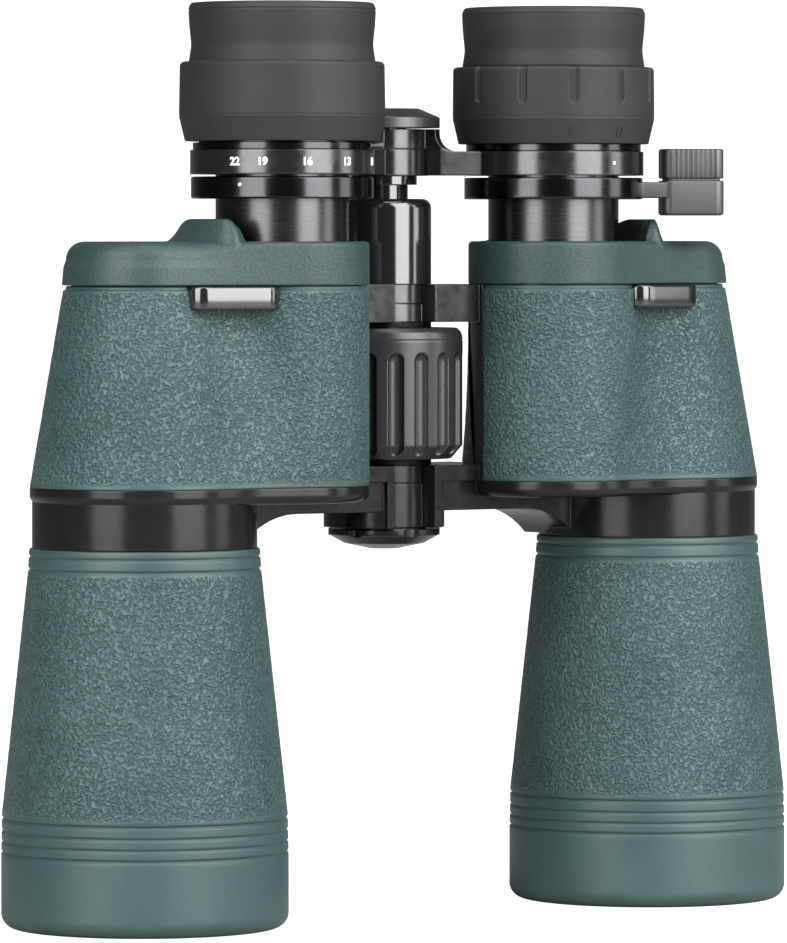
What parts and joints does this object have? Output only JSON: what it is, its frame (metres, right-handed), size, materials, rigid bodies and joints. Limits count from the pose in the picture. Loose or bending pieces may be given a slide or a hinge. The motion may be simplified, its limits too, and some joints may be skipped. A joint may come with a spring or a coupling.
{
  "type": "zoom binoculars",
  "caption": "Hand-held zoom Porro-prism binoculars with folding barrels, focus wheel and bridge, diopter ring, zoom lever, strap lugs and a capped tripod socket.",
  "frame": {"origin": "centre of the bounding box in plan, on the plane of the two objective rims on which the binoculars stand", "axes": "+Z along both optical axes from the objectives to the eyepieces; +X towards the right barrel, the one with the zoom lever; the barrels fold towards -Y"},
  "size_m": [0.1964, 0.0624, 0.2006],
  "materials": {
    "green_armour": "matte pebbled rubber, deep bluish green",
    "green_bezel": "smooth matte rubber, deep bluish green",
    "black_casting": "semi-gloss black enamel on a die casting",
    "barrel_tube": "matt black anodised",
    "lens_glass": "coated optical glass",
    "prism_glass": "ground and polished optical glass",
    "lens_cell": "matt black anodised",
    "sheet_steel": "spring sheet, dull",
    "guide_brass": "turned brass",
    "gloss_lug": "black chrome, mirror gloss",
    "eyepiece_tube": "satin grey-black anodised",
    "control_ring": "satin black with white index marks",
    "black_rubber": "matte charcoal rubber",
    "gloss_black": "polished black",
    "satin_plastic": "satin black plastic",
    "steel": "turned steel"
  },
  "bodies": {
    "left_barrel": {"left_body_casting": "black_casting", "left_prism_armour": "green_armour", "left_prism_cover": "green_bezel", "left_eyepiece_guide": "guide_brass", "left_objective_tube": "barrel_tube", "left_objective_armour": "green_armour", "left_objective_crown_lens": "lens_glass", "left_objective_flint_lens": "lens_glass", "left_objective_retainer": "lens_cell", "left_upper_prism": "prism_glass", "left_lower_prism": "prism_glass", "left_prism_shelf": "sheet_steel", "left_prism_clips": "sheet_steel", "left_strap_lug": "gloss_lug", "hinge_sleeve": "gloss_black", "lower_hinge_pin": "steel", "thrust_washers": "steel"},
    "right_barrel": {"right_body_casting": "black_casting", "right_prism_armour": "green_armour", "right_prism_cover": "green_bezel", "right_eyepiece_guide": "guide_brass", "right_objective_tube": "barrel_tube", "right_objective_armour": "green_armour", "right_objective_crown_lens": "lens_glass", "right_objective_flint_lens": "lens_glass", "right_objective_retainer": "lens_cell", "right_upper_prism": "prism_glass", "right_lower_prism": "prism_glass", "right_prism_shelf": "sheet_steel", "right_prism_clips": "sheet_steel", "right_strap_lug": "gloss_lug"},
    "focus_knob": {"focus_wheel": "satin_plastic", "focus_wheel_grip": "black_rubber", "focus_nut": "guide_brass"},
    "left_ocular": {"left_eyepiece_tube": "eyepiece_tube", "left_bridge_arm": "black_casting", "left_eyepiece_head": "control_ring", "left_eye_lens_cell": "lens_cell", "left_eye_lens": "lens_glass", "left_eyecup": "black_rubber", "focus_screw": "steel", "bridge_cap": "satin_plastic", "bridge_screw": "steel"},
    "right_ocular": {"right_eyepiece_tube": "eyepiece_tube", "right_bridge_arm": "black_casting", "right_eyepiece_head": "control_ring"},
    "left_zoom": {"left_zoom_ring": "control_ring", "left_zoom_cam": "guide_brass"},
    "right_zoom": {"right_zoom_ring": "control_ring", "right_zoom_cam": "guide_brass", "zoom_lever_grip": "satin_plastic"},
    "left_zoom_carriage": {"left_zoom_lens_cell": "lens_cell", "left_zoom_lens": "lens_glass"},
    "right_zoom_carriage": {"right_zoom_lens_cell": "lens_cell", "right_zoom_lens": "lens_glass"},
    "diopter": {"diopter_ring": "black_rubber", "right_eyecup": "black_rubber"},
    "diopter_carriage": {"right_eye_lens_cell": "lens_cell", "right_eye_lens": "lens_glass"},
    "tripod_cap": {"tripod_cap": "gloss_black"}
  },
  "joints": [
    {"name": "interpupillary_hinge", "type": "hinge", "parent": "left_barrel", "child": "right_barrel", "pos_m": [0, 0.007, 0.09], "axis": [0, 0, 1], "range_deg": [-42, 9]},
    {"name": "focus_wheel_spin", "type": "hinge", "parent": "left_barrel", "child": "focus_knob", "pos_m": [0, 0.007, 0.115], "axis": [0, 0, 1], "range_deg": [-127, 289]},
    {"name": "left_focus_slide", "type": "slide", "parent": "left_barrel", "child": "left_ocular", "axis": [0, 0, 1], "range_m": [-0.0028, 0.0064]},
    {"name": "right_focus_slide", "type": "slide", "parent": "right_barrel", "child": "right_ocular", "axis": [0, 0, 1], "range_m": [-0.00281, 0.00641]},
    {"name": "right_zoom_turn", "type": "hinge", "parent": "right_ocular", "child": "right_zoom", "pos_m": [0.03605, -0.0071, 0.16], "axis": [0, 0, 1], "range_deg": [-0.5, 108.5]},
    {"name": "left_zoom_turn", "type": "hinge", "parent": "left_ocular", "child": "left_zoom", "pos_m": [-0.03605, -0.0071, 0.16], "axis": [0, 0, 1], "range_deg": [-0.5, 108.5]},
    {"name": "right_zoom_lens_slide", "type": "slide", "parent": "right_ocular", "child": "right_zoom_carriage", "axis": [0, 0, 1], "range_m": [-0.01, 0]},
    {"name": "left_zoom_lens_slide", "type": "slide", "parent": "left_ocular", "child": "left_zoom_carriage", "axis": [0, 0, 1], "range_m": [-0.01005, 0.00005]},
    {"name": "diopter_turn", "type": "hinge", "parent": "right_ocular", "child": "diopter", "pos_m": [0.03605, -0.0071, 0.18], "axis": [0, 0, 1], "range_deg": [-35.2, 35.2]},
    {"name": "diopter_lens_slide", "type": "slide", "parent": "right_ocular", "child": "diopter_carriage", "axis": [0, 0, 1], "range_m": [-0.001, 0.001]},
    {"name": "tripod_cap_removal", "type": "slide", "parent": "left_barrel", "child": "tripod_cap", "axis": [0, 0, -1], "range_m": [0, 0.032]}
  ],
  "couplings": [
    {"joint": "focus_wheel_spin", "follows": "left_focus_slide", "rad_per_m": 785.4},
    {"joint": "right_focus_slide", "follows": "left_focus_slide", "ratio": 1},
    {"joint": "right_zoom_turn", "follows": "right_zoom_lens_slide", "rad_per_m": -188.5},
    {"joint": "left_zoom_turn", "follows": "right_zoom_lens_slide", "rad_per_m": -188.5},
    {"joint": "left_zoom_lens_slide", "follows": "right_zoom_lens_slide", "ratio": 1},
    {"joint": "diopter_turn", "follows": "diopter_lens_slide", "rad_per_m": 610.87}
  ]
}
